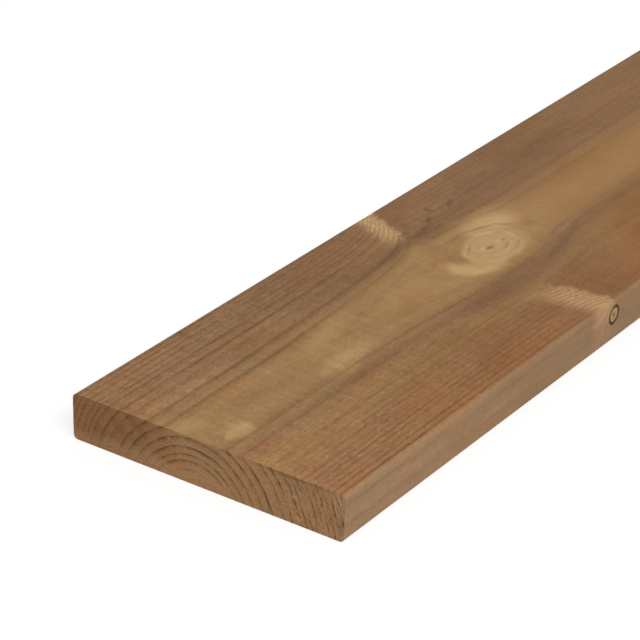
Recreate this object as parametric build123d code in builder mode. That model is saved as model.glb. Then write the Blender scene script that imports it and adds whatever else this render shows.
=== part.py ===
"""Planed softwood cladding board: one sawn length of timber with four eased long edges.

The board lies flat on its back face. X runs along the grain, Y across the width and Z up,
with the origin at the middle of the back face.
"""

import os

from build123d import *

# Driving dimensions, in millimetres
board_length = 3000.0  # stock length between the two square cross cuts
board_width = 145.0  # planed width over both narrow edges
board_thickness = 23.0  # planed thickness from back face to front face
arris_radius = 2.5  # rounding of the four long edges; the cross cuts stay sharp

# The plane of the first cross cut, where the section's own X is the width and its Y the thickness
first_cut = Plane.YZ.offset(-board_length / 2)

with BuildPart() as cladding_board:
    with BuildSketch(first_cut) as planed_section:
        Rectangle(board_width, board_thickness, align=(Align.CENTER, Align.MIN))
        fillet(planed_section.vertices(), arris_radius)
    extrude(amount=board_length)

cladding_board.part.label = "cladding_board"

os.makedirs("parts", exist_ok=True)
export_step(cladding_board.part, "parts/cladding_board.step")
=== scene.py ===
"""Builds a planed, pressure-treated softwood cladding board and its white studio.

The file is laid out as a Blender add-on and is run as a script. X runs along the grain, Y across
the width and Z up from the back face, in metres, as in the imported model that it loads. Inside the
timber, lengths are counted in millimetres from the near cut, the middle of the width and the back face.
"""

import math
from functools import partial
from typing import NamedTuple

import bmesh
import bpy
import numpy as np
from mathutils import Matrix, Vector


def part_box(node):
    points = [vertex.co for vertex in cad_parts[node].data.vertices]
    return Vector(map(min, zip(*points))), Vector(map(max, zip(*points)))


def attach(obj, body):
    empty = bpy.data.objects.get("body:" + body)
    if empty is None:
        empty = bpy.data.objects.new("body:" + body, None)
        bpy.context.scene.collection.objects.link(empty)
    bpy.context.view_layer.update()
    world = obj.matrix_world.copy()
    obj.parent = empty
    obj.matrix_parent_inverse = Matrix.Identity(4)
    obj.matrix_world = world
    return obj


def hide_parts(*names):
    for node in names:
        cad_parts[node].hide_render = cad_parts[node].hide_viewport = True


bl_info = {
    "name": "Treated cladding board",
    "version": (1, 0, 0),
    "blender": (4, 5, 0),
    "location": "View3D > Sidebar > Board",
    "description": "Builds a planed, pressure-treated softwood board with its rings and knots",
    "category": "Object",
}

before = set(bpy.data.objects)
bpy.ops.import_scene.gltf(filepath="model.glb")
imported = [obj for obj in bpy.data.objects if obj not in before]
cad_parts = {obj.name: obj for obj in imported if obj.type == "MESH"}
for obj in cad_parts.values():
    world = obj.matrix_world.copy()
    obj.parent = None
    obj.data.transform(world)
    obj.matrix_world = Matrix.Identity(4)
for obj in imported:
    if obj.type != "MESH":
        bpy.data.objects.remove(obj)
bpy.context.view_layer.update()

BOARD_NODE = "cladding_board"
MM = 0.001

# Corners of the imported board, and where its near cut and front face lie in millimetres
LOW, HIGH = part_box(BOARD_NODE)
NEAR_CUT = 1000 * LOW.x
FRONT_FACE = 1000 * HIGH.z

# Kinds of nodes. A pair is a kind with the settings that go with it
MATH = "ShaderNodeMath"
VECTOR = "ShaderNodeVectorMath"
RANGE = "ShaderNodeMapRange"
NOISE = "ShaderNodeTexNoise"
MAPPING = "ShaderNodeMapping"
MIX = "ShaderNodeMix"
SPLIT = "ShaderNodeSeparateXYZ"
JOIN = "ShaderNodeCombineXYZ"
CURVE = "ShaderNodeFloatCurve"
RAMP = "ShaderNodeValToRGB"
PLUS, MINUS, TIMES, TIMES_PLUS, OVER, LESSER, GREATER, UNSIGNED = (
    (MATH, {"operation": name}) for name in (
        "ADD", "SUBTRACT", "MULTIPLY", "MULTIPLY_ADD", "DIVIDE", "MINIMUM", "MAXIMUM", "ABSOLUTE",
    )
)
EASED = (RANGE, {"interpolation_type": "SMOOTHSTEP"})
BLEND = (MIX, {"data_type": "RGBA"})
TINT = (MIX, {"data_type": "RGBA", "blend_type": "MULTIPLY"})

# Size of a pattern in a direction in which it never changes
ENDLESS = math.inf

# Where the stem's core ran, in millimetres: just under the back face, left of the middle
PITH_ACROSS = 6.0
PITH_HEIGHT = -12.5

# Outer radius of each year's ring, in millimetres from the core
RING_RADII = (
    5.0, 10.2, 15.2, 19.6, 23.9, 26.8, 30.5, 34.8, 39.6, 44.0, 50.2, 54.2,
    58.7, 61.3, 64.0, 67.4, 70.2, 72.8, 75.6, 78.5, 81.5, 84.5, 88.0,
)
RING_SCALE = 100.0
RING_COUNT = len(RING_RADII) + 1

# How dark the lines of some years came out. The years between are blended
YEAR_WEIGHTS = (
    (0, 0.3), (4, 0.35), (5, 0.7), (7, 1.0), (8, 0.8), (9, 0.75), (10, 0.8), (11, 0.25), (12, 0.9),
    (13, 0.6), (16, 0.6), (22, 0.7),
)

# How dark one year's wood is from its start to its end, on a planed face and on a cut
PLANED_SEASON = (
    (0.0, 0.45), (0.10, 0.0), (0.45, 0.06), (0.74, 0.40), (0.87, 0.95), (0.96, 0.95), (1.0, 0.5),
)
SAWN_SEASON = (
    (0.0, 0.5), (0.07, 0.0), (0.45, 0.05), (0.78, 0.40), (0.90, 1.0), (0.97, 1.0), (1.0, 0.7),
)

# Whorls of branches, in millimetres along the board
FIRST_WHORL = 233.0
WHORL_PITCH = 560.0

# Stretches from the near cut that get more of the mesh and of the texture sheet, in metres
FINEST_STRETCH = 0.32
FINE_STRETCH = 0.75
STRETCH_CUTS = (99, 59, 89)

# Layout of the texture sheet, as shares of its side: a row with the two cuts, then two wide rows
SHEET_EDGE = 0.01
SHEET_WIDTH = 0.98
CUT_WIDTH = 0.48
CUT_HEIGHT = 0.07
SECOND_CUT = 0.5
NEAR_ROW = 0.095
NEAR_HEIGHT = 0.52
FAR_ROW = 0.63
FAR_HEIGHT = 0.36


class Branch(NamedTuple):
    """One branch of a whorl, as the saw cut it. Angles in degrees, lengths in millimetres."""

    lie: float  # direction round the core, from the left edge over the front face
    root: float  # start on the core, measured from the whorl's middle
    lean: float  # how far it leans along the board for each millimetre outwards
    taper: float  # radius gained for each millimetre outwards
    limit: float  # radius at which it stopped growing
    oval: float  # how much the knot is drawn out along the grain, below 1
    lift: float  # how far it pushes the rings outwards
    before: float  # length of that swelling on the near side
    after: float  # and on the far side
    spread: float  # its breadth round the stem
    crest: float  # shape of the swelling: 2 is rounded, 1 comes to a point
    reach: float  # how far the steep grain reaches on the near side
    fan: float  # how far it fans out to either side
    bow: float  # and how far it bows back close to the branch


LIVE_BRANCH = Branch(94.6, -13.0, 0.40, 0.365, 60.0, 0.75, 5.6, 60.0, 17.0, 30.0, 2.0, 0.0, 0.0, 0.0)
RIGHT_BRANCH = Branch(161.1, -41.4, 0.375, 0.20, 4.7, 0.98, 8.0, 5.0, 2.5, 14.0, 1.0, 17.0, 21.0, 3.0)
LEFT_BRANCH = Branch(25.0, -40.0, 0.47, 0.20, 4.7, 0.95, 14.0, 6.0, 2.5, 14.0, 1.0, 12.0, 18.5, 0.0)


class Mark(NamedTuple):
    """One soft oval mark on the wood."""

    along: float
    across: float
    length: float  # half its length
    breadth: float  # half its breadth
    turn: float  # degrees from the grain towards the left edge
    rim: float  # share of its half breadth over which it fades
    tone: float  # what it adds to the lightness in its middle


# How far a mark reaches into the board, in millimetres
MARK_DEPTH = 9.0

# Marks on the front face, in millimetres from the near cut and the middle of the width
PALE_MARKS = (
    Mark(17.0, -5.5, 11.0, 7.0, 0.0, 0.6, 0.90),
    Mark(98.0, -6.5, 25.0, 11.0, 4.0, 0.8, 0.70),
    Mark(5.0, 15.0, 14.0, 11.0, 0.0, 1.0, 0.50),
    Mark(112.0, 16.0, 34.0, 8.0, 8.0, 1.0, 0.35),
    Mark(172.0, 9.0, 34.0, 8.0, 3.0, 1.0, 0.25),
    Mark(26.0, 34.0, 52.0, 7.0, 0.0, 1.0, 0.26),
    Mark(266.0, 25.0, 24.0, 9.0, -12.0, 1.0, 0.45),
)
DARK_MARKS = (
    Mark(1.0, -40.0, 12.0, 50.0, 0.0, 1.0, 0.13),
    Mark(1.0, 28.0, 12.0, 17.0, 0.0, 1.0, 0.12),
    Mark(84.0, -18.0, 62.0, 10.0, 0.0, 1.0, -0.10),
    Mark(150.0, -9.5, 44.0, 6.0, -3.0, 1.0, -0.08),
    Mark(48.0, 8.0, 44.0, 10.0, 0.0, 1.0, -0.15),
    Mark(60.0, -33.0, 34.0, 7.0, 0.0, 1.0, -0.08),
    Mark(212.0, 37.5, 80.0, 6.0, 5.0, 1.0, -0.20),
    Mark(228.0, 32.5, 16.0, 4.0, 4.0, 1.0, -0.20),
    Mark(250.0, 50.0, 4.5, 2.6, 65.0, 0.7, -0.34),
    Mark(242.0, 44.0, 5.0, 2.2, 30.0, 0.7, -0.30),
    Mark(262.0, 46.5, 7.0, 2.0, 20.0, 0.8, -0.24),
    Mark(231.0, 58.0, 4.5, 2.0, 20.0, 0.8, -0.22),
    Mark(221.0, 45.0, 3.5, 2.0, 0.0, 0.8, -0.22),
    Mark(230.0, 39.5, 24.0, 2.8, -3.0, 1.0, -0.18),
    Mark(234.0, 48.0, 4.0, 2.4, 0.0, 0.9, 0.14),
    Mark(243.0, 56.0, 4.5, 2.2, 20.0, 0.9, 0.12),
    Mark(225.5, 70.0, 4.5, 3.0, 0.0, 0.8, -0.40),
    Mark(238.0, -27.0, 26.0, 5.0, 8.0, 1.0, -0.08),
    Mark(240.0, 56.0, 24.0, 18.0, 0.0, 1.0, 0.05),
    Mark(200.0, 33.0, 24.0, 7.0, 8.0, 1.0, -0.09),
    Mark(197.0, -13.0, 24.0, 8.0, -10.0, 1.0, -0.10),
    Mark(345.0, 29.0, 90.0, 5.0, 0.0, 1.0, 0.09),
    Mark(225.0, -21.0, 60.0, 8.0, 0.0, 1.0, -0.06),
    Mark(192.0, -27.0, 44.0, 12.0, 0.0, 1.0, -0.10),
    Mark(284.0, -15.0, 40.0, 3.5, 6.0, 1.0, -0.18),
    Mark(260.0, -22.0, 30.0, 3.5, 12.0, 1.0, -0.10),
    Mark(330.0, -14.0, 50.0, 6.0, 0.0, 1.0, -0.13),
    Mark(335.0, 40.0, 150.0, 50.0, 0.0, 1.0, -0.06),
)

# Colours of the sapwood across the board, from the right edge to the left
SAP_COLOURS = (
    (0.02, "sapwood_edge"), (0.16, "sapwood_edge"), (0.24, "sapwood_right"), (0.32, "sapwood_right"),
    (0.37, "sapwood_band"), (0.48, "sapwood_band"), (0.62, "sapwood_left"),
)

# Where the greyer strip beside the heart is wider, with its shift in millimetres as the tone
WIDER_BAND = Mark(215.0, -25.0, 80.0, 20.0, 0.0, 0.9, 12.0)

# Darker patches of the near cut, in millimetres from the middle of the width and the back face; one is
# painted shadow under the torn top rim on the right
CUT_MARKS_AND_RIM_SHADOW = (
    Mark(37.0, 19.0, 13.0, 5.5, 40.0, 1.0, -0.20),
    Mark(47.0, 14.5, 9.0, 4.0, 40.0, 1.0, -0.16),
    Mark(60.0, 6.0, 11.0, 6.0, -20.0, 1.0, -0.12),
    Mark(24.0, 18.0, 13.0, 4.0, 24.0, 1.0, -0.10),
    Mark(-66.0, 12.0, 5.0, 4.5, 60.0, 1.0, -0.16),
    Mark(-52.0, 19.0, 12.0, 3.0, -8.0, 1.0, -0.12),
    # Painted shadow: a thin dark line under the torn fibres of the top rim, on the right
    Mark(-46.0, 22.2, 26.0, 1.5, 0.0, 0.9, -0.34),
    Mark(-71.0, 9.0, 2.2, 6.0, 10.0, 0.9, -0.26),
    Mark(0.0, 6.0, 22.0, 7.0, 0.0, 1.0, 0.08),
    Mark(-70.0, 19.0, 4.0, 6.0, 20.0, 1.0, 0.16),
)

# Marks round the live knot, where 1 is its own radius: pale halo, the brown that breaks it, small marks
HALO_MARKS = (
    Mark(-1.02, -0.26, 1.26, 1.00, -24.0, 0.34, 0.92),
    Mark(1.24, 1.12, 1.50, 1.12, -18.0, 0.60, 0.95),
    Mark(0.34, 0.06, 1.56, 1.34, 30.0, 0.45, 0.60),
)
SHADE_MARKS = (
    Mark(-1.28, 0.48, 0.52, 0.95, 8.0, 0.9, 1.0),
    Mark(-1.30, 1.62, 0.75, 1.35, 8.0, 1.0, 1.0),
    Mark(-0.30, 1.45, 0.90, 0.50, 12.0, 1.0, 0.7),
    Mark(1.93, -0.05, 0.42, 0.42, 0.0, 0.9, 1.0),
    Mark(1.30, -1.00, 0.90, 0.45, 40.0, 0.8, 0.6),
)
KNOT_MARKS = (
    Mark(1.52, 1.12, 0.80, 0.60, -30.0, 0.9, 0.10),
    Mark(-1.78, -0.30, 0.45, 1.00, 20.0, 0.9, 0.08),
    Mark(-1.30, -0.95, 0.95, 0.45, -32.0, 0.9, 0.08),
    Mark(0.62, 0.88, 0.75, 0.12, -38.0, 0.8, 0.14),
    Mark(1.06, 0.10, 0.50, 0.12, 84.0, 0.8, 0.14),
    Mark(0.92, 1.22, 0.90, 0.13, -26.0, 0.8, -0.22),
    Mark(1.55, 0.62, 0.60, 0.13, -62.0, 0.8, -0.20),
    Mark(-0.08, 0.02, 0.26, 0.16, -8.0, 0.9, -0.36),
    Mark(-0.30, 0.14, 0.22, 0.13, 25.0, 0.9, 0.18),
    Mark(0.36, -0.36, 0.42, 0.09, 28.0, 0.9, -0.20),
    Mark(0.62, -0.62, 0.50, 0.09, 32.0, 0.9, -0.16),
    Mark(0.58, -0.02, 0.16, 0.11, 60.0, 0.9, -0.22),
    Mark(0.44, 0.06, 0.24, 0.13, 40.0, 0.9, 0.12),
    Mark(-0.58, 0.52, 0.60, 0.09, 32.0, 0.9, -0.16),
    Mark(-0.66, 0.02, 0.34, 0.08, 75.0, 0.9, -0.12),
)

# Tone of the live knot's own rings by their radius, where 0.5 is plain, and how far they are drawn
KNOT_RINGS = (
    (0.0, 0.50), (0.42, 0.50), (0.48, 0.46), (0.54, 0.51), (0.72, 0.51), (0.78, 0.45), (0.84, 0.50),
    (0.96, 0.50), (1.03, 0.57), (1.12, 0.51), (1.25, 0.48), (1.38, 0.52), (1.54, 0.48), (1.64, 0.52),
    (1.90, 0.52), (2.10, 0.50),
)
KNOT_REACH = 2.5


class Growth(NamedTuple):
    """The sockets that tell one spot in the timber: where it is and how it grew."""

    spot: object  # millimetres from the near cut, the middle and the back face
    along: object
    across: object
    height: object
    radius: object  # millimetres from the core, with the swellings round knots taken off
    arc: object  # millimetres round the core
    season: object  # 0 when a year's wood starts, 1 when it ends
    weight: object  # how dark that year's line came out
    late: object  # 0 in pale spring wood, 1 in the dark line that ends a year
    slant: object  # 1 where the grain dives steeply, on the near side of a dead branch
    crotch: object  # 1 in the smooth dark wood on its far side
    live: object  # distance from the live knot's middle, where 1 is its rim
    live_place: object  # the same as a vector, along and across
    dead: object  # distance from the nearer dead knot's middle, where 1 is its rim
    vigour: object  # size of this whorl's branches, where the first whorl has 1


def linear(colour):
    """Turns an sRGB hex colour into scene-linear red, green and blue."""
    parts = [int(colour[place:place + 2], 16) / 255 for place in (1, 3, 5)]
    return [part / 12.92 if part <= 0.04045 else ((part + 0.055) / 1.055) ** 2.4 for part in parts]


def add_node(tree, kind, feeds=(), stops=(), **settings):
    """Adds one node, feeds its open inputs in order or by name and returns its first open output.

    Stops are the colours or grey levels of a ramp, or the points of a curve.
    """
    kind, usual = (kind, {}) if isinstance(kind, str) else kind
    node = tree.nodes.new(kind)
    for name, value in (usual | settings).items():
        setattr(node, name, value)
    if stops and kind == RAMP:
        band = node.color_ramp.elements
        while len(band) < len(stops):
            band.new(1.0)
        for element, (place, colour) in zip(band, stops):
            element.position = place
            element.color = colour if isinstance(colour, tuple) else (colour, colour, colour, 1.0)
    elif stops:
        line = node.mapping.curves[0].points
        while len(line) < len(stops):
            line.new(0.5, 0.5)
        for point, place in zip(line, stops):
            point.location = place
            point.handle_type = "VECTOR"
        node.mapping.update()
    inputs = [socket for socket in node.inputs if socket.enabled]
    if not isinstance(feeds, dict):
        feeds = dict(zip([socket.identifier for socket in inputs], feeds))
    for name, feed in feeds.items():
        socket = next(s for s in inputs if name in (s.identifier, s.name))
        if isinstance(feed, bpy.types.NodeSocket):
            tree.links.new(feed, socket)
        elif feed is not None:
            socket.default_value = feed
    return next((socket for socket in node.outputs if socket.enabled), None)


def start_nodes(owner):
    """Clears the nodes of a material or world and returns what adds new ones to it."""
    owner.use_nodes = True
    owner.node_tree.nodes.clear()
    return partial(add_node, owner.node_tree)


def patches(add, place, size, detail=2.0, roughness=0.5):
    """Adds irregular patches of a real size, in millimetres along, across and through the board."""
    scaled = add(VECTOR, [place, [1 / part for part in size]], operation="MULTIPLY")
    return add(NOISE, {"Vector": scaled, "Scale": 1.0, "Detail": detail, "Roughness": roughness})


def wobbled(add, place, spot, size, shift):
    """Moves a place about by patches, so that what is drawn there gets an uneven outline."""
    noise = patches(add, spot, size).node.outputs["Color"]
    centred = add(VECTOR, [noise, (0.5, 0.5, 0.5)], operation="SUBTRACT")
    return add(VECTOR, [centred, shift, place], operation="MULTIPLY_ADD")


def grow_branch(add, branch, place, spin, vigour):
    """Adds one branch to a whorl: its knot, and how it swells the rings round it."""
    turn = add(MINUS, [math.radians(90 - branch.lie), spin])
    turned = add("ShaderNodeVectorRotate", {"Vector": place, "Angle": turn}, rotation_type="X_AXIS")
    along, across, out = add(SPLIT, [turned]).node.outputs
    leaned = add(TIMES_PLUS, [out, -branch.lean, along])
    beside = add(MINUS, [leaned, branch.root])

    # The knot, as a share of its own radius
    grown = add(TIMES, [out, branch.taper])
    stopped = add(LESSER, [grown, branch.limit])
    kept = add(GREATER, [stopped, 0.01])
    size = add(TIMES, [kept, vigour])
    flat = add(JOIN, [beside, across, 0.0])
    drawn = add(VECTOR, [flat, (branch.oval, 1.0, 1.0)], operation="MULTIPLY")
    knot_place = add(VECTOR, [drawn, add(JOIN, [size, size, 1.0])], operation="DIVIDE")
    knot = add(VECTOR, [knot_place], operation="LENGTH").node.outputs["Value"]

    # The swelling, long on the near side and short in the crotch
    near = add(LESSER, [beside, 0.0])
    far = add(GREATER, [beside, 0.0])
    near_part = add(OVER, [near, branch.before])
    both = add(TIMES_PLUS, [far, 1 / branch.after, near_part])
    length = add(UNSIGNED, [both])
    crested = add(MATH, [length, branch.crest], operation="POWER")
    sideways = add(OVER, [across, branch.spread])
    bell = add(TIMES_PLUS, [sideways, sideways, crested])
    half = add(TIMES, [bell, -0.5])
    fall = add(MATH, [half], operation="EXPONENT")
    begun = add(EASED, [out, 0.0, 8.0, 0.0, branch.lift])
    swelling = add(TIMES, [fall, begun])
    swelling = add(TIMES, [swelling, vigour])
    return knot, knot_place, swelling, beside, across


def grow_beside(add, branch, spot, beside, across):
    """Adds the grain beside a dead branch: steep and pale before it, smooth and dark behind it."""
    fray = patches(add, spot, (9, 3, 3))
    distance = add(UNSIGNED, [across])
    bowed = add(EASED, [distance, 8.0, 16.0, branch.bow, -0.5 * branch.bow])
    curved = add(PLUS, [beside, bowed])
    frayed = add(TIMES_PLUS, [fray, 7.0, curved])
    ranges = (
        (distance, 0.7 * branch.fan, branch.fan, 1.0, 0.0),
        (frayed, -branch.reach, 11.0 - branch.reach, 0.0, 1.0),
        (frayed, 2.5, 8.5, 1.0, 0.0),
        (frayed, 4.5, 8.5, 0.0, 1.0),
        (frayed, 13.0, 40.0, 1.0, 0.0),
    )
    close, rise, drop, start, end = (add(EASED, limits) for limits in ranges)
    before = add(TIMES, [rise, drop])
    behind = add(TIMES, [start, end])
    slant = add(TIMES, [before, close])
    crotch = add(TIMES, [behind, close])
    return slant, crotch


def grow_timber(add, place):
    """Adds the nodes that turn a place in the board into its growth: rings, whorls and knots.

    The shader and the relief of the mesh both call this, so the ridges lie where the lines are drawn.
    """
    spot = add(VECTOR, [place, (1000.0,) * 3, (-NEAR_CUT, 0.0, 0.0)], operation="MULTIPLY_ADD")
    along, across, height = add(SPLIT, [spot]).node.outputs

    # The core wanders a little past the first half metre
    settled = add(EASED, [along, 450.0, 1200.0, 0.0, 1.0])
    sway_at = add(TIMES, [along, 1 / 700])
    sway = add(NOISE, {"W": sway_at, "Scale": 1.0, "Detail": 1.0}, noise_dimensions="1D")
    centred = add(VECTOR, [sway.node.outputs["Color"], (0.5, 0.5, 0.5)], operation="SUBTRACT")
    wide = add(VECTOR, [centred, (0.0, 40.0, 18.0)], operation="MULTIPLY")
    wander = add(VECTOR, {"Vector": wide, "Scale": settled}, operation="SCALE")
    core = add(VECTOR, [wander, (0.0, PITH_ACROSS, PITH_HEIGHT)], operation="ADD")
    from_core = add(VECTOR, [spot, core], operation="SUBTRACT")
    _, core_across, core_up = add(SPLIT, [from_core]).node.outputs

    # Each whorl is a little different from the first
    from_first = add(MINUS, [along, FIRST_WHORL])
    counted = add(OVER, [from_first, WHORL_PITCH])
    whorl = add(MATH, [counted], operation="ROUND")
    nearest = add(TIMES_PLUS, [whorl, -WHORL_PITCH, from_first])
    luck = add("ShaderNodeTexWhiteNoise", {"W": whorl}, noise_dimensions="1D").node.outputs["Color"]
    centred_luck = add(VECTOR, [luck, (0.5, 0.75, 0.5)], operation="SUBTRACT")
    wide_luck = add(VECTOR, [centred_luck, (150.0, 0.7, 1.4)], operation="MULTIPLY")
    number = add(UNSIGNED, [whorl])
    later = add(LESSER, [number, 1.0])
    own_luck = add(VECTOR, {"Vector": wide_luck, "Scale": later}, operation="SCALE")
    shift, growth, spin = add(SPLIT, [own_luck]).node.outputs
    vigour = add(PLUS, [growth, 1.0])
    moved = add(MINUS, [nearest, shift])
    in_whorl = add(JOIN, [moved, core_across, core_up])

    live, live_place, swelling, _, _ = grow_branch(add, LIVE_BRANCH, in_whorl, spin, vigour)
    dead = slant = crotch = None
    for branch in (RIGHT_BRANCH, LEFT_BRANCH):
        knot, _, more, beside, out_of_line = grow_branch(add, branch, in_whorl, spin, vigour)
        pale, dark = grow_beside(add, branch, spot, beside, out_of_line)
        swelling = add(PLUS, [swelling, more])
        dead = add(LESSER, [dead, knot]) if dead else knot
        slant = add(GREATER, [slant, pale]) if slant else pale
        crotch = add(GREATER, [crotch, dark]) if crotch else dark

    # Rings are never quite round: slow waves of about 3 cm, and a fine tremble of about 2 mm
    slow = patches(add, spot, (180, 28, 28))
    fine = patches(add, spot, (22, 2.5, 2.5))
    flat = add(JOIN, [0.0, core_across, core_up])
    distance = add(VECTOR, [flat], operation="LENGTH").node.outputs["Value"]
    eased = add(MINUS, [distance, swelling])
    waved = add(TIMES_PLUS, [slow, 2.0, eased])
    trembled = add(TIMES_PLUS, [fine, 0.8, waved])
    radius = add(MINUS, [trembled, 1.4])
    angle = add(MATH, [core_across, core_up], operation="ARCTAN2")
    arc = add(TIMES, [angle, 45.0])

    # Years counted from the core, and the dark line that ends each
    years = [(0.0, 0.0)]
    years += [(r / RING_SCALE, (n + 1) / RING_COUNT) for n, r in enumerate(RING_RADII)]
    years += [(1.0, 1.0)]
    scaled = add(OVER, [radius, RING_SCALE])
    counted_years = add(CURVE, {"Value": scaled}, stops=years)
    rings = add(TIMES, [counted_years, RING_COUNT])
    season = add(MATH, [rings], operation="FRACT")
    line = add(RAMP, [season], stops=PLANED_SEASON)
    year = add(MATH, [rings], operation="ROUND")
    year_share = add(OVER, [year, RING_COUNT])
    weight = add(RAMP, [year_share], stops=[(n / RING_COUNT, level) for n, level in YEAR_WEIGHTS])
    late = add(TIMES, [line, weight])
    return Growth(spot, along, across, height, radius, arc, season, weight, late, slant, crotch,
                  live, live_place, dead, vigour)


def relief_nodes(depth):
    """A node group that sinks the soft spring wood a little below the hard lines, as weather does."""
    tree = bpy.data.node_groups.new("grain_relief", "GeometryNodeTree")
    tree.interface.new_socket("Geometry", in_out="INPUT", socket_type="NodeSocketGeometry")
    tree.interface.new_socket("Geometry", in_out="OUTPUT", socket_type="NodeSocketGeometry")
    add = partial(add_node, tree)
    board = add("NodeGroupInput")
    place = add("GeometryNodeInputPosition")
    normal = add("GeometryNodeInputNormal")
    wood = grow_timber(add, place)
    soft = add(RANGE, [wood.late, 0.0, 1.0, 1.0, 0.0])
    pore = patches(add, wood.spot, (16, 2.2, 2.2), detail=1.0)
    sunk = add(PLUS, [pore, soft])
    shrunk = add(EASED, [wood.dead, 0.8, 1.1, 2.0, 0.0])
    deeper = add(PLUS, [sunk, shrunk])
    inward = add(TIMES, [deeper, -0.5 * depth])
    offset = add(VECTOR, {"Vector": normal, "Scale": inward}, operation="SCALE")
    shaped = add("GeometryNodeSetPosition", {"Geometry": board, "Offset": offset})
    add("NodeGroupOutput", [shaped])
    return tree


def pick_edges(mesh, wanted):
    """Selects, in edit mode, the edges for which wanted gives true, and nothing else."""
    shape = bmesh.from_edit_mesh(mesh)
    shape.select_mode = {"EDGE"}
    for part in (*shape.faces, *shape.edges, *shape.verts):
        part.select = False
    for edge in shape.edges:
        if wanted(edge.verts[0].co, edge.verts[1].co):
            edge.select = True
    bmesh.update_edit_mesh(mesh)


def lengthwise(a, b):
    """True for an edge that runs along the grain."""
    return abs(a.x - b.x) > 10 * max(abs(a.y - b.y), abs(a.z - b.z))


def slice_square(axis, places):
    """Cuts the whole mesh, in edit mode, by planes square to one axis."""
    for place in places:
        bpy.ops.mesh.select_all(action="SELECT")
        bpy.ops.mesh.bisect(plane_co=[float(place) * part for part in axis], plane_no=axis)


def shape_board(sizes):
    """Saws a block to the board's size, rounds its long edges and divides it finely for the relief."""
    bpy.ops.object.select_all(action="DESELECT")
    bpy.ops.mesh.primitive_cube_add(size=1.0, location=(LOW + HIGH) / 2, scale=HIGH - LOW)
    board = bpy.context.object
    board.name = "planed_board"
    bpy.ops.object.transform_apply(location=True, rotation=True, scale=True)

    bpy.ops.object.mode_set(mode="EDIT")
    bpy.ops.mesh.select_mode(type="EDGE")
    pick_edges(board.data, lengthwise)
    radius = sizes.arris_radius
    bpy.ops.mesh.bevel(
        offset=radius, offset_type="OFFSET", segments=sizes.arris_steps, profile=0.5, affect="EDGES"
    )

    # Cuts along the grain, then cuts across it that part the stretches
    slice_square((0.0, 1.0, 0.0), np.linspace(LOW.y + radius, HIGH.y - radius, sizes.width_cuts))
    slice_square((0.0, 0.0, 1.0), np.linspace(LOW.z + radius, HIGH.z - radius, sizes.thickness_cuts))
    borders = [LOW.x, LOW.x + FINEST_STRETCH, LOW.x + FINE_STRETCH, HIGH.x]
    slice_square((1.0, 0.0, 0.0), borders[1:-1])
    for start, end, cuts in zip(borders, borders[1:], STRETCH_CUTS):
        pick_edges(
            board.data,
            lambda a, b: lengthwise(a, b) and start - MM < min(a.x, b.x) and max(a.x, b.x) < end + MM,
        )
        bpy.ops.mesh.subdivide(number_cuts=cuts)
    bpy.ops.mesh.select_all(action="SELECT")
    bpy.ops.mesh.remove_doubles(threshold=1e-6)
    bpy.ops.mesh.normals_make_consistent(inside=False)
    bpy.ops.object.mode_set(mode="OBJECT")
    return board


def raise_grain(board, depth):
    """Lets the relief of the rings into the mesh and applies it."""
    relief = board.modifiers.new("grain_relief", "NODES")
    relief.node_group = relief_nodes(depth)
    bpy.ops.object.modifier_apply(modifier=relief.name)
    bpy.data.node_groups.remove(bpy.data.node_groups["grain_relief"])
    bpy.ops.object.shade_smooth_by_angle(angle=math.radians(40))


class Face(NamedTuple):
    """The sockets that tell which surface a spot is on, from 0 to 1."""

    cut: object  # the two cross cuts
    planed: object  # everything else
    edge: object  # the two narrow edges
    ragged: object  # how coarse the planing left it: most at the near end


def find_face(add, wood, normal):
    """Adds the masks of the board's surfaces."""
    facing_along, facing_across, _ = add(SPLIT, [normal]).node.outputs
    endwise = add(UNSIGNED, [facing_along])
    cut = add(EASED, [endwise, 0.5, 0.8, 0.0, 1.0])
    planed = add(MINUS, [1.0, cut])
    edgewise = add(UNSIGNED, [facing_across])
    edge = add(EASED, [edgewise, 0.35, 0.9, 0.0, 1.0])
    near = add(EASED, [wood.along, 60.0, 330.0, 1.0, 0.42])
    later = add(EASED, [wood.along, 420.0, 800.0, 0.0, 0.33])
    ragged = add(PLUS, [near, later])
    return Face(cut, planed, edge, ragged)


def soft_mark(add, place, mark, height=0.0):
    """Adds one oval mark, which fades towards its rim and away from its own surface."""
    moved = add(
        MAPPING,
        {
            "Vector": place,
            "Location": (mark.along, mark.across, height),
            "Rotation": (0.0, 0.0, math.radians(mark.turn)),
            "Scale": (mark.length, mark.breadth, MARK_DEPTH),
        },
        vector_type="TEXTURE",
    )
    inside = add("ShaderNodeTexGradient", [moved], gradient_type="SPHERICAL").node.outputs["Fac"]
    return add(EASED, [inside, 0.0, mark.rim, 0.0, mark.tone])


def lay_marks(add, place, marks, height=0.0, under=None, how=PLUS):
    """Lays soft marks over what is under them, where they add up or the strongest shows."""
    for mark in marks:
        shown = soft_mark(add, place, mark, height)
        under = add(how, [under, shown]) if under else shown
    return under


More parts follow.
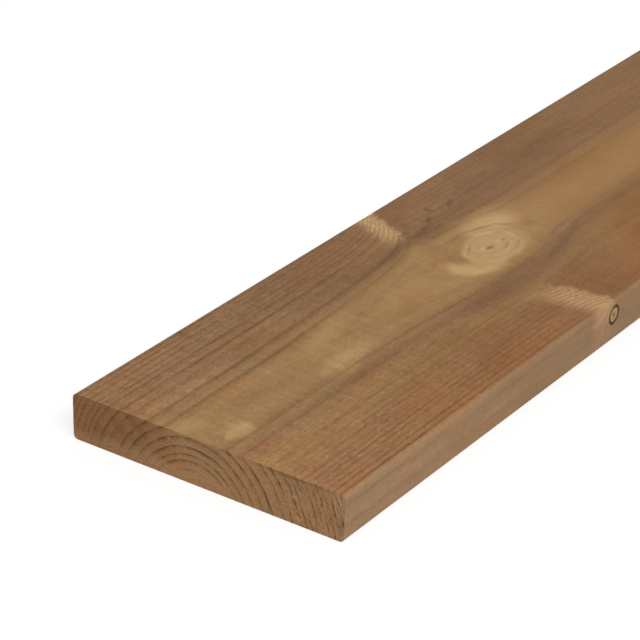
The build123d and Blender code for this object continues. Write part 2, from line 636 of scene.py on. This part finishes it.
def timber_colour(add, wood, face, colours):
    """Adds the plain colours of the wood: brown sapwood, paler heart, the two cuts, and the narrow
    edges' wood drawn greyer as a painted sheen.
    """
    # Blotches about 6 cm long, in which the treatment went in more or less deep
    mottle = patches(add, wood.spot, (60, 14, 14), detail=3.0, roughness=0.55)
    # The greyer strip beside the heart is wider at the first whorl, and the heart narrower
    wider = soft_mark(add, wood.spot, WIDER_BAND, FRONT_FACE)
    uneven = add(TIMES_PLUS, [mottle, 12.0, wood.radius])
    pushed = add(TIMES_PLUS, [wider, 0.35, uneven])
    heart = add(EASED, [pushed, 40.5, 51.5, 1.0, 0.0])
    drifted = add(TIMES_PLUS, [mottle, 24.0, wood.across])
    placed = add(PLUS, [drifted, wider])
    side = add(RANGE, [placed, -60.0, 84.0, 0.0, 1.0])
    sap = add(RAMP, [side], stops=[(place, colours[name]) for place, name in SAP_COLOURS])
    body = add(BLEND, [heart, sap, colours["heartwood"]])
    # Painted sheen: the narrow edges' wood is coloured greyer to stand in for the light glancing off
    # them
    narrow = add(BLEND, [face.edge, body, colours["narrow_edge"]])

    # The cuts drank more of the treatment, most on the left, and less in a wavy strip along the back
    strip_at = add(TIMES_PLUS, [mottle, 10.0, wood.height])
    strip = add(EASED, [strip_at, 9.0, 14.0, 1.0, 0.0])
    wide_side = add(TIMES_PLUS, [mottle, 30.0, wood.across])
    left_cut = add(EASED, [wide_side, 15.0, 62.0, 0.0, 1.0])
    dark_left = add(TIMES_PLUS, [strip, -0.6, left_cut], use_clamp=True)
    drunk = add(BLEND, [dark_left, colours["cut_right"], colours["cut_left"]])
    on_cut = add(JOIN, [wood.across, wood.height, 0.0])
    sawn_place = wobbled(add, on_cut, wood.spot, (ENDLESS, 2.2, 1.6), (5.0, 3.2, 0.0))
    sawn = add(RANGE, [mottle, 0.3, 0.7, 0.92, 1.08])
    # The cut's patches, among them a painted shadow under its torn top rim on the right
    sawn_tone = lay_marks(add, sawn_place, CUT_MARKS_AND_RIM_SHADOW, under=sawn)
    cut_colour = add(TINT, [1.0, drunk, sawn_tone])
    bare = add(BLEND, [face.cut, narrow, cut_colour])

    # A warm cast in blotches of about 5 cm
    hue = patches(add, wood.spot, (50, 14, 14), detail=1.0)
    blotchy = add(EASED, [hue, 0.42, 0.68, 0.0, 1.0])
    past_knot = add(EASED, [wood.along, 250.0, 330.0, 0.0, 1.0])
    further = add(EASED, [wood.along, 520.0, 900.0, 1.0, 0.2])
    not_left = add(RANGE, [wood.across, 20.0, 35.0, further, 0.0])
    on_wide = add(RANGE, [face.edge, 0.0, 1.0, 0.75, 0.0])
    on_right = add(EASED, [wood.across, -20.0, -42.0, 0.0, on_wide])
    past_end = add(EASED, [wood.along, 50.0, 115.0, 0.0, further])
    redder = add(TIMES_PLUS, [on_right, past_end, blotchy])
    warm = add(TIMES_PLUS, [past_knot, not_left, redder])
    cast = add(TINT, [warm, bare, colours["warm_cast"]], clamp_factor=False)
    return cast, mottle, heart


def face_blotches(add, wood, under, mottle, heart, colours):
    """Adds the pale and brown blotches of the planed faces."""
    place = wobbled(add, wood.spot, wood.spot, (14, 7, 7), (12.0, 7.0, 0.0))
    worn = add(EASED, [wood.along, 40.0, 150.0, 0.05, -0.09])
    mottled = add(RANGE, [mottle, 0.3, 0.7, 0.90, 1.10])
    sap = add(MINUS, [1.0, heart])
    faded = add(TIMES_PLUS, [worn, sap, mottled])
    tone = lay_marks(add, place, DARK_MARKS, FRONT_FACE, faded)
    pale = lay_marks(add, place, PALE_MARKS, FRONT_FACE)
    toned = add(TINT, [1.0, under, tone])
    return add(BLEND, [pale, toned, colours["pale_blotch"]])


def year_lines(add, wood, face, halo):
    """Adds the dark year lines: soft and patchy on planed wood, thin and broken on a cut."""
    patchy = patches(add, wood.spot, (75, 6, 6))
    presence = add(RANGE, [patchy, 0.3, 0.7, 0.45, 1.30])
    inner = add(EASED, [wood.radius, 34.0, 40.0, 0.16, 0.72])
    faded = add(RANGE, [face.ragged, 0.4, 1.0, 0.34, 1.0])
    on_edge = add(RANGE, [face.edge, 0.0, 1.0, 1.0, 0.36])
    across_share = add(RANGE, [wood.across, -72.0, 72.0, 0.0, 1.0])
    calm = add(
        RAMP, [across_share], stops=[(0.06, 1.0), (0.20, 0.5), (0.34, 0.4), (0.42, 0.9), (0.50, 1.0)]
    )
    for part in (calm, inner, faded, on_edge):
        presence = add(TIMES, [presence, part])
    in_steep = add(RANGE, [face.edge, 0.0, 1.0, 0.36, 0.14])
    in_slant = add(MIX, [wood.slant, presence, in_steep])
    out_of_halo = add(RANGE, [halo, 0.0, 1.0, 1.0, 0.08])
    out_of_crotch = add(RANGE, [wood.crotch, 0.0, 1.0, 1.0, 0.30])
    clear = add(TIMES, [out_of_halo, out_of_crotch])
    strength = add(TIMES, [in_slant, clear])
    steps = add(OVER, [wood.radius, 2.6])
    step = add(MATH, [steps], operation="FRACT")
    dense = add(RAMP, [step], stops=[(0.0, 0.3), (0.15, 0.0), (0.55, 0.0), (0.80, 0.8), (0.92, 0.8)])
    steep = add(RANGE, [wood.slant, 0.2, 0.7, 0.0, 1.0])
    line = add(MIX, [steep, wood.late, dense])
    on_planed = add(TIMES, [line, strength])

    # On a cut the saw tore the line here and there, in stretches of about 5 mm
    thin = add(RAMP, [wood.season], stops=SAWN_SEASON)
    torn = patches(add, wood.spot, (ENDLESS, 5, 5))
    most_torn = add(RANGE, [wood.across, -25.0, -65.0, 0.38, -0.35])
    broken = add(RANGE, [torn, 0.34, 0.66, most_torn, 1.10])
    dark = add(RANGE, [wood.weight, 0.2, 1.0, 0.36, 0.84])
    low = add(EASED, [wood.height, 2.5, 9.0, 0.25, 1.2])
    left = add(EASED, [wood.across, -45.0, -5.0, 0.0, 1.0])
    lower = add(MIX, [left, 1.4, low])
    kept = add(TIMES, [dark, lower])
    cut_strength = add(TIMES, [broken, kept])
    on_cut = add(TIMES, [thin, cut_strength], use_clamp=True)
    return add(MIX, [face.cut, on_planed, on_cut], clamp_factor=True)


def planing_marks(add, wood, face, heart):
    """Adds what planer and saw left: fibres, fuzz, ripples, dark dashes, and raised and torn flecks,
    which in the colour are painted highlight and painted shade.
    """
    # Fibres follow the rings: half a millimetre wide and 3 cm long
    fibre_at = add(JOIN, [wood.along, wood.radius, wood.arc])
    fibre = patches(add, fibre_at, (30, 0.6, 0.6))
    # Fuzz about 1 mm wide, and smudges across the grain about 3 mm apart
    fuzz = patches(add, wood.spot, (3.0, 1.0, 1.0))
    ripple = patches(add, wood.spot, (2.8, 18, 18))
    rippled = add(RANGE, [ripple, 0.3, 0.7, -0.07, 0.07])
    fibres = add(TIMES, [fibre, 0.31])
    grain = add(TIMES_PLUS, [fuzz, 0.29, fibres])
    # Dashes 7 mm long, mostly in the dark lines, and flecks of 2 mm: torn ones darker as painted shade,
    # raised ones lighter as painted highlight
    dash_noise = patches(add, wood.spot, (7, 0.9, 0.9), detail=1.0)
    dash = add(EASED, [dash_noise, 0.54, 0.70, 0.0, 1.0])
    in_line = add(RANGE, [wood.late, 0.0, 0.8, 0.07, 0.17])
    dashed = add(TIMES, [dash, in_line])
    fleck_noise = patches(add, wood.spot, (2.4, 0.9, 0.9), detail=0.0)
    torn = add(EASED, [fleck_noise, 0.23, 0.37, -0.16, 0.0])
    raised = add(EASED, [fleck_noise, 0.65, 0.79, 0.0, 0.24])
    # Painted highlight and painted shade: the flecks change the colour as well as the bump
    fleck_and_painted_light = add(PLUS, [torn, raised])
    on_wide = add(RANGE, [face.edge, 0.0, 1.0, 1.0, 0.45])
    on_left = add(EASED, [wood.across, 15.0, 45.0, 1.0, 1.15])
    on_heart = add(RANGE, [heart, 0.0, 1.0, on_left, 0.55])
    wide = add(TIMES, [on_wide, on_heart])
    coarse = add(TIMES, [face.ragged, wide])
    centred = add(MINUS, [grain, 0.30])
    lighter = add(PLUS, [centred, fleck_and_painted_light])
    both = add(MINUS, [lighter, dashed])
    rippling = add(TIMES, [face.ragged, on_wide])
    ripples = add(TIMES, [rippled, rippling])
    on_planed = add(TIMES_PLUS, [both, coarse, ripples])

    # The saw left slanting scratches 6 mm long, and tore up pale flecks towards the right
    saw_at = add(
        MAPPING,
        {
            "Vector": wood.spot,
            "Rotation": (math.radians(-38), 0.0, 0.0),
            "Scale": (1 / 5, 1 / 6, 1 / 0.6),
        },
    )
    saw = add(NOISE, {"Vector": saw_at, "Scale": 1.0, "Detail": 2.0})
    pit = patches(add, wood.spot, (5.0, 1.1, 1.1))
    tuft_noise = patches(add, fibre_at, (5.0, 0.9, 2.6), detail=1.0)
    tuft = add(EASED, [tuft_noise, 0.58, 0.72, 0.0, 1.0])
    gouge = add(EASED, [tuft_noise, 0.30, 0.42, -1.0, 0.0])
    stroke = add(PLUS, [tuft, gouge])
    right = add(EASED, [wood.across, -20.0, -66.0, 0.05, 0.36])
    tufted = add(TIMES, [stroke, right])
    scratch = add(TIMES_PLUS, [saw, 0.55, tufted])
    sawn = add(TIMES_PLUS, [pit, 0.55, scratch])
    on_cut = add(MINUS, [sawn, 0.56])
    marks = add(MIX, [face.cut, on_planed, on_cut])
    return marks, fibre


def live_knot(add, wood, under, halo, colours):
    """Adds the live branch: pale wood with faint rings, crescents and a slit at its core."""
    wobble = add(NOISE, {"Vector": wood.live_place, "Scale": 1.3, "Detail": 2.0})
    swirled = add(TIMES_PLUS, [wobble, 0.44, wood.live])
    share = add(PLUS, [swirled, -0.22])
    rim_place = add(TIMES_PLUS, [wobble, 0.16, wood.live])
    ring_share = add(OVER, [share, KNOT_REACH])
    rings = add(RAMP, [ring_share], stops=[(place / KNOT_REACH, tone) for place, tone in KNOT_RINGS])
    clear_at = add(NOISE, {"Vector": wood.live_place, "Scale": 0.9, "Detail": 1.0, "Distortion": 0.4})
    clear = add(RANGE, [clear_at, 0.36, 0.64, 0.2, 2.2])
    ring_tone = add(MINUS, [rings, 0.5])
    ringed_tone = add(TIMES, [ring_tone, clear])
    marked = lay_marks(add, wood.live_place, KNOT_MARKS, under=ringed_tone)

    core = add(EASED, [rim_place, 0.96, 1.18, 1.0, 0.0])
    shade = lay_marks(add, wood.live_place, SHADE_MARKS, how=GREATER)
    shaded = add(TIMES_PLUS, [shade, -0.10, marked])
    light = add(TIMES_PLUS, [shaded, 1.35, 1.0])
    bright = add(RANGE, [shade, 0.0, 1.0, 0.74, 0.0])
    shown_halo = add(TIMES, [halo, bright])
    ringed = add(BLEND, [shown_halo, under, colours["pale_grain"]])
    grown = add(BLEND, [core, ringed, colours["live_knot"]])
    near_knot = add(EASED, [wood.live, 2.2, 3.0, 1.0, 0.0])
    return add(TINT, [near_knot, grown, light])


def dead_knots(add, wood, under, colours):
    """Adds the dead branches: a ring of dark bark round weathered wood, with a dark dot at the core."""
    frayed = add(NOISE, {"Vector": wood.spot, "Scale": 0.5, "Detail": 2.0})
    share = add(TIMES_PLUS, [frayed, 0.22, wood.dead])
    ragged = add(PLUS, [share, -0.11])
    bark, wood_in, dot = (colours[name] for name in ("bark", "dead_knot", "knot_pith"))
    inside = add(
        RAMP, [ragged],
        stops=[(0.0, dot), (0.14, dot), (0.30, wood_in), (0.64, wood_in), (0.76, bark), (0.93, bark)],
    )
    knot = add(EASED, [ragged, 0.93, 1.06, 1.0, 0.0])
    return add(BLEND, [knot, under, inside])


def treated_pine(looks):
    """Softwood planed, then pressure treated brown: matt, with dark year lines and a pale heart."""
    material = bpy.data.materials.new("treated_pine_planed")
    add = start_nodes(material)
    coordinates = add("ShaderNodeTexCoord").node.outputs
    colours = {name: (*getattr(looks, name), 1.0) for name in looks.__annotations__}
    wood = grow_timber(add, coordinates["Object"])
    face = find_face(add, wood, coordinates["Normal"])
    around = lay_marks(add, wood.live_place, HALO_MARKS, how=GREATER)
    pale = add(RANGE, [wood.vigour, 0.5, 1.0, 0.35, 1.0])
    on_planed = add(TIMES, [around, face.planed])
    halo = add(TIMES, [on_planed, pale])

    plain, mottle, heart = timber_colour(add, wood, face, colours)
    blotches = face_blotches(add, wood, plain, mottle, heart, colours)
    blotched = add(BLEND, [face.planed, plain, blotches])
    # The grain dives before a dead branch and its cut fibres look pale, and behind the branch it is dark
    by_front = add(EASED, [wood.height, 9.0, 18.0, 0.22, 0.75])
    on_face = add(MIX, [face.edge, 0.94, by_front])
    shown_slant = add(TIMES, [on_face, pale])
    slant = add(TIMES, [wood.slant, shown_slant])
    leftwards = add(RANGE, [wood.across, -20.0, 20.0, 0.0, 1.0])
    steep_colour = add(BLEND, [leftwards, colours["pale_right"], colours["pale_grain"]])
    slanted = add(BLEND, [slant, blotched, steep_colour])
    on_wide = add(RANGE, [face.edge, 0.0, 0.6, 0.5, 0.0])
    crotch = add(TIMES, [wood.crotch, on_wide])
    crotched = add(BLEND, [crotch, slanted, colours["crotch"]])
    lines = year_lines(add, wood, face, halo)
    line_colour = add(BLEND, [face.cut, colours["late_wood"], colours["cut_line"]])
    lined = add(BLEND, [lines, crotched, line_colour])
    knotted = live_knot(add, wood, lined, halo, colours)
    marks, fibre = planing_marks(add, wood, face, heart)
    calm = add(RANGE, [halo, 0.0, 1.0, 1.0, 0.45])
    # Raised fibres and flecks are painted lighter and greyer, a painted highlight of the light they
    # catch, and torn ones darker and browner, a painted shade
    fewer = add(TIMES, [marks, calm])
    greyer = add(VECTOR, [fewer, (1.0, 1.12, 1.32), (1.0, 1.0, 1.0)], operation="MULTIPLY_ADD")
    marked = add(TINT, [1.0, knotted, greyer])
    finished = dead_knots(add, wood, marked, colours)

    rough = add(RANGE, [fibre, 0.3, 0.7, 0.82, 0.70])
    bump = add("ShaderNodeBump", {"Strength": 0.6, "Distance": 0.4 * MM, "Height": marks})
    shader = add(
        "ShaderNodeBsdfPrincipled",
        {
            "Base Color": finished, "Roughness": rough, "Normal": bump,
            "Specular IOR Level": 0.08, "IOR": 1.5,
        },
    )
    add("ShaderNodeOutputMaterial", [shader])
    return material


def way_round(y, z, left, radius):
    """What share of the section's outline leads from the middle of the back face to a point."""
    flat = HIGH.y - radius
    upright = HIGH.z - LOW.z - 2 * radius
    corner = math.pi / 2 * radius
    half = 2 * flat + 2 * corner + upright
    beyond = abs(y) - flat
    above = z - LOW.z - radius
    if beyond <= 0:
        way = abs(y) if above < 0 else half - abs(y)
    elif above < 0:
        way = flat + radius * (math.atan2(above, beyond) + math.pi / 2)
    elif above <= upright:
        way = flat + corner + above
    else:
        way = flat + corner + upright + radius * math.atan2(above - upright, beyond)
    return (way if left else 2 * half - way) / (2 * half)


def map_for_bake(board, radius):
    """Lays the surface out flat: both cuts side by side, the stretch round the first whorl, the rest."""
    sheet = board.data.uv_layers.new(name="OFBake").data
    vertices = board.data.vertices
    for face in board.data.polygons:
        near = face.center.x < LOW.x + FINE_STRETCH
        for loop in face.loop_indices:
            x, y, z = vertices[board.data.loops[loop].vertex_index].co
            if abs(face.normal.x) > 0.5:
                u = CUT_WIDTH * (y - LOW.y) / (HIGH.y - LOW.y) + (0.0 if near else SECOND_CUT)
                v = SHEET_EDGE + CUT_HEIGHT * (z - LOW.z) / (HIGH.z - LOW.z)
            elif near:
                u = SHEET_WIDTH * (x - LOW.x) / FINE_STRETCH
                v = NEAR_ROW + NEAR_HEIGHT * way_round(y, z, face.center.y > 0, radius)
            else:
                u = SHEET_WIDTH * (x - LOW.x - FINE_STRETCH) / (HIGH.x - LOW.x - FINE_STRETCH)
                v = FAR_ROW + FAR_HEIGHT * way_round(y, z, face.center.y > 0, radius)
            sheet[loop].uv = (SHEET_EDGE + u, v)


class BoardSizes(bpy.types.PropertyGroup):
    """Sizes of the board's finish. Its length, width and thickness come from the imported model."""

    arris_radius: bpy.props.FloatProperty(
        name="Arris radius", description="Rounding of the four long edges",
        default=2.5 * MM, unit="LENGTH",
    )
    arris_steps: bpy.props.IntProperty(
        name="Arris steps", description="Facets across each rounded edge", default=6, min=2
    )
    width_cuts: bpy.props.IntProperty(
        name="Cuts across the width", description="Divisions that carry the relief", default=109, min=2
    )
    thickness_cuts: bpy.props.IntProperty(
        name="Cuts through the thickness", description="Divisions that carry the relief",
        default=14, min=2,
    )
    relief_depth: bpy.props.FloatProperty(
        name="Relief depth", description="How far spring wood lies below the year lines",
        default=0.12 * MM, unit="LENGTH",
    )


def tint(label, use, colour):
    """One colour of the timber that a user may change."""
    return bpy.props.FloatVectorProperty(
        name=label, description=use, subtype="COLOR", default=linear(colour)
    )


class TimberLooks(bpy.types.PropertyGroup):
    """Colours of the treated timber; the narrow edges' colour carries a painted sheen."""

    sapwood_left: tint("Sapwood, left", "Treated wood by the left edge", "#926F4F")
    sapwood_right: tint("Sapwood, right", "Treated wood by the right edge", "#99764F")
    sapwood_edge: tint("Sapwood, right edge", "Redder strip along the right edge", "#98704D")
    sapwood_band: tint("Sapwood, band", "Greyer strip beside the heart", "#906C4D")
    heartwood: tint("Heartwood", "Paler wood near the core", "#A27F55")
    # Painted sheen: greyer than the faces to stand in for the light glancing off the edges
    narrow_edge: tint("Narrow edges", "Greyer wood of the two planed edges", "#9A7B5C")
    late_wood: tint("Year lines", "Dense wood that ends each year", "#603C1F")
    warm_cast: tint("Warm cast", "Multiplies the colour where the treatment looks redder", "#FFF8F2")
    pale_grain: tint("Pale grain", "Grain that dives round knots", "#C09E70")
    pale_right: tint("Pale grain, right", "The same by the right edge, a little redder", "#BA916A")
    pale_blotch: tint("Pale blotches", "Heart that took little of the treatment", "#B99566")
    crotch: tint("Crotch", "Smooth wood behind a dead branch", "#7F5D41")
    live_knot: tint("Live knot", "Branch grown into the wood", "#B8966A")
    bark: tint("Bark", "Ring round a dead branch", "#4A3010")
    dead_knot: tint("Dead knot", "Weathered wood of a dead branch", "#A48A66")
    knot_pith: tint("Knot core", "Dot in the middle of a dead branch", "#735D3C")
    cut_left: tint("Cut, left", "Sawn end towards the left edge", "#8B6443")
    cut_right: tint("Cut, right", "Sawn end elsewhere", "#A17C57")
    cut_line: tint("Cut lines", "Year lines on a sawn end", "#5C3C21")


class StageLooks(bpy.types.PropertyGroup):
    """Light and floor of the studio."""

    sky: bpy.props.FloatProperty(
        name="Sky", description="Strength of the even light from all round", default=0.5, min=0.0
    )
    key: bpy.props.FloatProperty(
        name="Key lamp", description="Power of the large lamp on the right",
        default=150.0, min=0.0, unit="POWER",
    )
    far: bpy.props.FloatProperty(
        name="Far lamp", description="Power of the narrower lamp over the far half",
        default=6.0, min=0.0, unit="POWER",
    )


class Lamp(NamedTuple):
    """One lamp of the studio, which hangs on the right. Lengths in metres."""

    name: str
    along: float  # where it hangs along the board
    target: float  # the place along the board that it faces
    length: float  # its longer side
    beam: float  # its spread in degrees


# The key lamp lights the near end, and a narrower beam keeps the far half as bright
KEY_LAMP = Lamp("key_lamp", -3.0, -1.2, 3.0, 180.0)
FAR_LAMP = Lamp("far_lamp", 3.0, 1.2, 1.2, 36.0)
LAMP_ACROSS = -2.8
LAMP_HEIGHT = 3.6
LAMP_PROPORTION = 1.5

# The camera, fitted to the straight edges of the board: metres, degrees, and millimetres of lens
CAMERA_PLACE = (-2.30281, -0.61359, 0.61175)
CAMERA_TURN = (62.33495, -0.99775, -54.80229)
CAMERA_LENS = 155.0
CAMERA_SENSOR = 36.0
CAMERA_REACH = 200.0

# The floor: the paper that lights the board, the part of it that takes the shadow, and plain white
FLOOR_SIZE = 30.0
PAPER, SHADED, WHITE = ((*linear(colour), 1.0) for colour in ("#E1E1E1", "#959595", "#FFFFFF"))
PAPER_GLOW = 0.74


class BOARD_OT_shape(bpy.types.Operator):
    """Shapes the board, lets the grain into its surface and gives it treated timber"""

    bl_idname = "board.shape"
    bl_label = "Shape the board"

    def execute(self, context):
        sizes = context.scene.board_sizes
        board = shape_board(sizes)
        map_for_bake(board, sizes.arris_radius)
        raise_grain(board, sizes.relief_depth)
        if not board.data.polygons:
            raise RuntimeError("the board has no faces left")
        board.data.materials.clear()
        board.data.materials.append(treated_pine(context.scene.timber_looks))
        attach(board, "root")
        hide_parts(BOARD_NODE)
        return {"FINISHED"}


class BOARD_OT_stage(bpy.types.Operator):
    """Sets the white floor, the lamps and the camera"""

    bl_idname = "board.stage"
    bl_label = "Set the stage"

    def execute(self, context):
        scene = context.scene
        looks = scene.stage_looks
        scene.view_settings.view_transform = "Standard"

        bpy.ops.object.select_all(action="DESELECT")
        bpy.ops.mesh.primitive_plane_add(size=FLOOR_SIZE, location=(0.0, 0.0, 0.0))
        floor = context.object
        floor.name = "studio_floor"
        floor.data.materials.append(white_floor())
        scene.world = white_sky(looks.sky)

        for lamp, power in ((KEY_LAMP, looks.key), (FAR_LAMP, looks.far)):
            bpy.ops.object.light_add(type="AREA", location=(lamp.along, LAMP_ACROSS, LAMP_HEIGHT))
            light = context.object
            light.name = lamp.name
            light.data.shape = "RECTANGLE"
            light.data.size = lamp.length
            light.data.size_y = lamp.length / LAMP_PROPORTION
            light.data.spread = math.radians(lamp.beam)
            light.data.energy = power
            aim(light, (lamp.target, 0.0, 0.0))

        bpy.ops.object.camera_add(
            location=CAMERA_PLACE, rotation=[math.radians(part) for part in CAMERA_TURN]
        )
        camera = context.object
        camera.name = "studio_camera"
        camera.data.sensor_width = CAMERA_SENSOR
        camera.data.lens = CAMERA_LENS
        camera.data.clip_end = CAMERA_REACH
        scene.camera = camera
        return {"FINISHED"}


def aim(light, target):
    """Turns a light to face a point."""
    line = Vector(target) - light.location
    light.rotation_euler = line.to_track_quat("-Z", "Y").to_euler()


def seen_directly(add):
    """True for what the camera, a reflection or glass shows of the studio."""
    ray = add("ShaderNodeLightPath").node.outputs
    sharp = add(GREATER, [ray["Is Camera Ray"], ray["Is Glossy Ray"]])
    return add(GREATER, [sharp, ray["Is Transmission Ray"]])


def white_floor():
    """Matt white paper: lights the board from below, and shows white with a faint shadow."""
    material = bpy.data.materials.new("white_paper_floor")
    add = start_nodes(material)
    paper = add("ShaderNodeBsdfDiffuse", {"Color": PAPER})
    glow = add("ShaderNodeEmission", {"Color": WHITE, "Strength": PAPER_GLOW})
    faint = add("ShaderNodeBsdfDiffuse", {"Color": SHADED})
    shown = add("ShaderNodeAddShader", [glow, faint])
    mixed = add("ShaderNodeMixShader", [seen_directly(add), paper, shown])
    add("ShaderNodeOutputMaterial", [mixed])
    return material


def white_sky(strength):
    """An even sky that lights softly and shows white."""
    world = bpy.data.worlds.new("white_sky")
    add = start_nodes(world)
    soft = add("ShaderNodeBackground", {"Color": WHITE, "Strength": strength})
    shown = add("ShaderNodeBackground", {"Color": WHITE, "Strength": 1.0})
    mixed = add("ShaderNodeMixShader", [seen_directly(add), soft, shown])
    add("ShaderNodeOutputWorld", [mixed])
    return world


class BOARD_PT_panel(bpy.types.Panel):
    """Lists the board's operators and settings."""

    bl_idname = "BOARD_PT_panel"
    bl_label = "Cladding board"
    bl_space_type = "VIEW_3D"
    bl_region_type = "UI"
    bl_category = "Board"

    def draw(self, context):
        layout = self.layout
        for name in SETTINGS:
            group = getattr(context.scene, name)
            for field in group.__annotations__:
                layout.prop(group, field)
        for operator in (BOARD_OT_shape, BOARD_OT_stage):
            layout.operator(operator.bl_idname)


CLASSES = (BoardSizes, TimberLooks, StageLooks, BOARD_OT_shape, BOARD_OT_stage, BOARD_PT_panel)
SETTINGS = {"board_sizes": BoardSizes, "timber_looks": TimberLooks, "stage_looks": StageLooks}


def register():
    for cls in CLASSES:
        bpy.utils.register_class(cls)
    for name, group in SETTINGS.items():
        setattr(bpy.types.Scene, name, bpy.props.PointerProperty(type=group))


def unregister():
    for name in SETTINGS:
        delattr(bpy.types.Scene, name)
    for cls in reversed(CLASSES):
        bpy.utils.unregister_class(cls)


def main():
    register()
    bpy.ops.board.shape()
    bpy.ops.board.stage()


if __name__ == "__main__":
    main()
